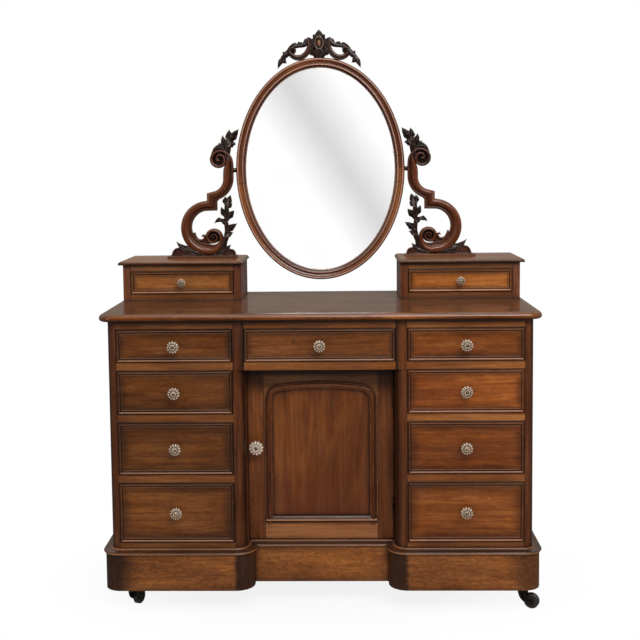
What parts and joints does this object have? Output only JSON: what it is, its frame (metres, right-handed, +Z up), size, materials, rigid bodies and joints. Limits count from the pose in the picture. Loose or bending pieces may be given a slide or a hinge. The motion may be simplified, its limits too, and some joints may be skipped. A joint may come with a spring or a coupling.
{
  "type": "dressing table",
  "caption": "Twin-pedestal mahogany dressing table with a kneehole cupboard, jewel boxes and a swinging oval mirror on carved scroll standards, on casters.",
  "frame": {"origin": "middle of the footprint, on the floor that the casters stand on", "axes": "+X to the right seen from the front, +Y to the back, +Z up"},
  "size_m": [1.226, 0.561, 1.6538],
  "materials": {
    "mahogany": "french polished mahogany",
    "carved_mahogany": "dark polished carving",
    "pine": "plain planed pine",
    "brass": "old polished brass",
    "knob_glass": "clear pressed glass",
    "mirror_glass": "silvered glass",
    "caster_iron": "dark cast iron",
    "caster_wheel": "turned hardwood"
  },
  "bodies": {
    "carcass": {"main_top": "mahogany", "side_panels": "mahogany", "rounded_stiles": "mahogany", "drawer_rails": "mahogany", "drawer_runners": "pine", "back_panels": "pine", "bottom_boards": "pine", "cupboard_boards": "mahogany", "cupboard_shelf": "pine", "plinth_boards": "mahogany", "plinth_moulding": "mahogany", "caster_plates": "brass", "left_box_case": "mahogany", "right_box_case": "mahogany", "box_lids": "mahogany", "base_plates": "mahogany", "left_standard": "mahogany", "right_standard": "mahogany", "pivot_sockets": "brass", "door_hinges": "brass"},
    "drawer_left_1": {"drawer_left_1": "mahogany", "knob_left_1": "knob_glass"},
    "drawer_left_2": {"drawer_left_2": "mahogany", "knob_left_2": "knob_glass"},
    "drawer_left_3": {"drawer_left_3": "mahogany", "knob_left_3": "knob_glass"},
    "drawer_left_4": {"drawer_left_4": "mahogany", "knob_left_4": "knob_glass"},
    "drawer_right_1": {"drawer_right_1": "mahogany", "knob_right_1": "knob_glass"},
    "drawer_right_2": {"drawer_right_2": "mahogany", "knob_right_2": "knob_glass"},
    "drawer_right_3": {"drawer_right_3": "mahogany", "knob_right_3": "knob_glass"},
    "drawer_right_4": {"drawer_right_4": "mahogany", "knob_right_4": "knob_glass"},
    "drawer_centre": {"drawer_centre": "mahogany", "knob_centre": "knob_glass"},
    "box_drawer_left": {"box_drawer_left": "mahogany", "box_knob_left": "knob_glass"},
    "box_drawer_right": {"box_drawer_right": "mahogany", "box_knob_right": "knob_glass"},
    "door": {"door_frame": "mahogany", "door_panel": "mahogany", "door_moulding": "mahogany", "door_knob": "knob_glass", "door_hinge_leaves": "brass"},
    "mirror": {"mirror_frame": "mahogany", "mirror_glass": "mirror_glass", "mirror_backboard": "pine", "mirror_crest": "carved_mahogany", "mirror_pivots": "brass"},
    "caster_front_left": {"caster_horn_front_left": "caster_iron"},
    "wheel_front_left": {"caster_wheel_front_left": "caster_wheel"},
    "caster_front_right": {"caster_horn_front_right": "caster_iron"},
    "wheel_front_right": {"caster_wheel_front_right": "caster_wheel"},
    "caster_back_left": {"caster_horn_back_left": "caster_iron"},
    "wheel_back_left": {"caster_wheel_back_left": "caster_wheel"},
    "caster_back_right": {"caster_horn_back_right": "caster_iron"},
    "wheel_back_right": {"caster_wheel_back_right": "caster_wheel"}
  },
  "joints": [
    {"name": "drawer_left_1_slide", "type": "slide", "parent": "carcass", "child": "drawer_left_1", "axis": [0, -1, 0], "range_m": [0, 0.33]},
    {"name": "drawer_left_2_slide", "type": "slide", "parent": "carcass", "child": "drawer_left_2", "axis": [0, -1, 0], "range_m": [0, 0.33]},
    {"name": "drawer_left_3_slide", "type": "slide", "parent": "carcass", "child": "drawer_left_3", "axis": [0, -1, 0], "range_m": [0, 0.33]},
    {"name": "drawer_left_4_slide", "type": "slide", "parent": "carcass", "child": "drawer_left_4", "axis": [0, -1, 0], "range_m": [0, 0.33]},
    {"name": "drawer_right_1_slide", "type": "slide", "parent": "carcass", "child": "drawer_right_1", "axis": [0, -1, 0], "range_m": [0, 0.33]},
    {"name": "drawer_right_2_slide", "type": "slide", "parent": "carcass", "child": "drawer_right_2", "axis": [0, -1, 0], "range_m": [0, 0.33]},
    {"name": "drawer_right_3_slide", "type": "slide", "parent": "carcass", "child": "drawer_right_3", "axis": [0, -1, 0], "range_m": [0, 0.33]},
    {"name": "drawer_right_4_slide", "type": "slide", "parent": "carcass", "child": "drawer_right_4", "axis": [0, -1, 0], "range_m": [0, 0.33]},
    {"name": "drawer_centre_slide", "type": "slide", "parent": "carcass", "child": "drawer_centre", "axis": [0, -1, 0], "range_m": [0, 0.33]},
    {"name": "box_drawer_left_slide", "type": "slide", "parent": "carcass", "child": "box_drawer_left", "axis": [0, -1, 0], "range_m": [0, 0.14]},
    {"name": "box_drawer_right_slide", "type": "slide", "parent": "carcass", "child": "box_drawer_right", "axis": [0, -1, 0], "range_m": [0, 0.14]},
    {"name": "door_hinge", "type": "hinge", "parent": "carcass", "child": "door", "pos_m": [0.2047, -0.1798, 0.427], "axis": [0, 0, 1], "range_deg": [0, 88]},
    {"name": "mirror_tilt", "type": "hinge", "parent": "carcass", "child": "mirror", "pos_m": [0, 0.1705, 1.227], "axis": [1, 0, 0], "range_deg": [-30, 30]},
    {"name": "swivel_front_left", "type": "hinge", "parent": "carcass", "child": "caster_front_left", "pos_m": [-0.532, -0.2235, 0.05], "axis": [0, 0, 1], "continuous": true},
    {"name": "roll_front_left", "type": "hinge", "parent": "caster_front_left", "child": "wheel_front_left", "pos_m": [-0.52189, -0.19847, 0.021], "axis": [0.9272, -0.3746, 0], "continuous": true},
    {"name": "swivel_front_right", "type": "hinge", "parent": "carcass", "child": "caster_front_right", "pos_m": [0.56, -0.2235, 0.05], "axis": [0, 0, 1], "continuous": true},
    {"name": "roll_front_right", "type": "hinge", "parent": "caster_front_right", "child": "wheel_front_right", "pos_m": [0.58467, -0.23448, 0.021], "axis": [-0.4067, -0.9135, 0], "continuous": true},
    {"name": "swivel_back_left", "type": "hinge", "parent": "carcass", "child": "caster_back_left", "pos_m": [-0.532, 0.2265, 0.05], "axis": [0, 0, 1], "continuous": true},
    {"name": "roll_back_left", "type": "hinge", "parent": "caster_back_left", "child": "wheel_back_left", "pos_m": [-0.55538, 0.24, 0.021], "axis": [0.5, 0.866, 0], "continuous": true},
    {"name": "swivel_back_right", "type": "hinge", "parent": "carcass", "child": "caster_back_right", "pos_m": [0.56, 0.2265, 0.05], "axis": [0, 0, 1], "continuous": true},
    {"name": "roll_back_right", "type": "hinge", "parent": "caster_back_right", "child": "wheel_back_right", "pos_m": [0.58068, 0.24386, 0.021], "axis": [0.6428, -0.766, 0], "continuous": true}
  ]
}
